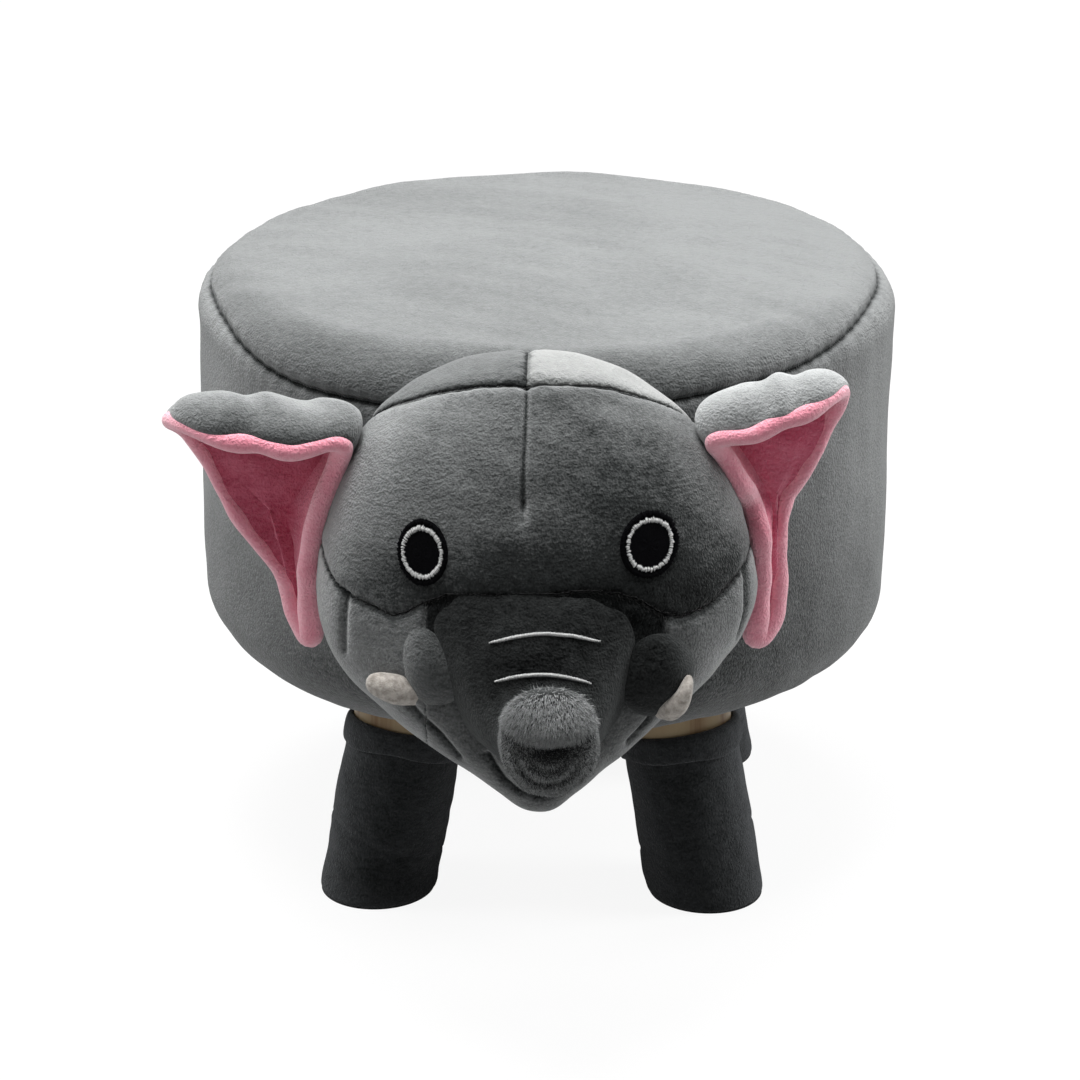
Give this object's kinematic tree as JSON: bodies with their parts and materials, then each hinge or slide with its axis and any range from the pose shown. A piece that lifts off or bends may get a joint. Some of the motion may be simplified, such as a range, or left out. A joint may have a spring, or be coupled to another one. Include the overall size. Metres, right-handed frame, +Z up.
{
  "type": "animal footstool",
  "caption": "Round padded footstool with a stuffed elephant head and tail, plush cover, and splayed screw-in wooden legs in plush socks.",
  "frame": {"origin": "on the floor under the centre of the round seat", "axes": "+Z up, -Y the way the head looks, +X to the right of someone who faces the head"},
  "size_m": [0.28, 0.417, 0.257],
  "materials": {
    "plush_light_grey": "short plush",
    "plush_mid_grey": "short plush",
    "plush_dark_grey": "short plush",
    "plush_charcoal": "short plush",
    "plush_pink": "short plush",
    "felt_white": "felt",
    "thread_black": "satin stitch",
    "thread_pale": "satin stitch",
    "pine": "sanded, clear lacquer",
    "inner_wood": "sawn",
    "fibreboard": "raw",
    "foam": "open cell foam",
    "fibre_fill": "loose polyester fibre",
    "zinc_steel": "zinc plated",
    "plate_steel": "black coated",
    "nonwoven": "spunbonded"
  },
  "bodies": {
    "seat": {"base_board": "inner_wood", "cover_side_panel": "plush_mid_grey", "cover_top_panel": "plush_light_grey", "dust_cover": "nonwoven", "eye_patch_left": "thread_black", "eye_patch_right": "thread_black", "eye_ring_left": "thread_pale", "eye_ring_right": "thread_pale", "frame_posts": "inner_wood", "frame_screws": "zinc_steel", "head_cheek_left": "plush_mid_grey", "head_cheek_right": "plush_mid_grey", "head_crown_left": "plush_mid_grey", "head_crown_right": "plush_mid_grey", "head_forehead": "plush_mid_grey", "head_jaw": "plush_dark_grey", "head_stuffing": "fibre_fill", "leg_plate_front_left": "plate_steel", "leg_plate_front_right": "plate_steel", "leg_plate_rear_left": "plate_steel", "leg_plate_rear_right": "plate_steel", "lip_fold_left": "plush_dark_grey", "lip_fold_right": "plush_dark_grey", "plate_screws": "zinc_steel", "seat_cushion": "foam", "side_padding": "foam", "side_wall": "fibreboard", "top_board": "inner_wood", "trunk": "plush_dark_grey", "trunk_wrinkles": "thread_pale", "tusk_left": "felt_white", "tusk_right": "felt_white", "underside_staples": "zinc_steel"},
    "leg_front_left": {"leg_front_left": "pine", "leg_bolt_front_left": "zinc_steel"},
    "sock_front_left": {"sock_front_left": "plush_charcoal"},
    "leg_front_right": {"leg_front_right": "pine", "leg_bolt_front_right": "zinc_steel"},
    "sock_front_right": {"sock_front_right": "plush_charcoal"},
    "leg_rear_right": {"leg_rear_right": "pine", "leg_bolt_rear_right": "zinc_steel"},
    "sock_rear_right": {"sock_rear_right": "plush_charcoal"},
    "leg_rear_left": {"leg_rear_left": "pine", "leg_bolt_rear_left": "zinc_steel"},
    "sock_rear_left": {"sock_rear_left": "plush_charcoal"},
    "ear_left": {"ear_left": "plush_mid_grey", "ear_lining_left": "plush_pink"},
    "ear_right": {"ear_right": "plush_mid_grey", "ear_lining_right": "plush_pink"},
    "tail": {"tail": "plush_mid_grey", "tail_tuft": "plush_charcoal"}
  },
  "joints": [
    {"name": "unscrew_leg_front_left", "type": "slide", "parent": "seat", "child": "leg_front_left", "axis": [-0.1711, -0.1711, -0.9703], "range_m": [0, 0.025]},
    {"name": "pull_off_sock_front_left", "type": "slide", "parent": "leg_front_left", "child": "sock_front_left", "axis": [-0.1711, -0.1711, -0.9703], "range_m": [0, 0.072]},
    {"name": "unscrew_leg_front_right", "type": "slide", "parent": "seat", "child": "leg_front_right", "axis": [0.1711, -0.1711, -0.9703], "range_m": [0, 0.025]},
    {"name": "pull_off_sock_front_right", "type": "slide", "parent": "leg_front_right", "child": "sock_front_right", "axis": [0.1711, -0.1711, -0.9703], "range_m": [0, 0.072]},
    {"name": "unscrew_leg_rear_right", "type": "slide", "parent": "seat", "child": "leg_rear_right", "axis": [0.1711, 0.1711, -0.9703], "range_m": [0, 0.025]},
    {"name": "pull_off_sock_rear_right", "type": "slide", "parent": "leg_rear_right", "child": "sock_rear_right", "axis": [0.1711, 0.1711, -0.9703], "range_m": [0, 0.072]},
    {"name": "unscrew_leg_rear_left", "type": "slide", "parent": "seat", "child": "leg_rear_left", "axis": [-0.1711, 0.1711, -0.9703], "range_m": [0, 0.025]},
    {"name": "pull_off_sock_rear_left", "type": "slide", "parent": "leg_rear_left", "child": "sock_rear_left", "axis": [-0.1711, 0.1711, -0.9703], "range_m": [0, 0.072]},
    {"name": "lift_ear_left", "type": "hinge", "parent": "seat", "child": "ear_left", "pos_m": [-0.0565, -0.165, 0.2415], "axis": [0, 1, 0], "range_deg": [0, 30]},
    {"name": "lift_ear_right", "type": "hinge", "parent": "seat", "child": "ear_right", "pos_m": [0.0565, -0.165, 0.2415], "axis": [0, -1, 0], "range_deg": [0, 30]},
    {"name": "swing_tail", "type": "hinge", "parent": "seat", "child": "tail", "pos_m": [0, 0.1458, 0.205], "axis": [1, 0, 0], "range_deg": [0, 70]}
  ]
}
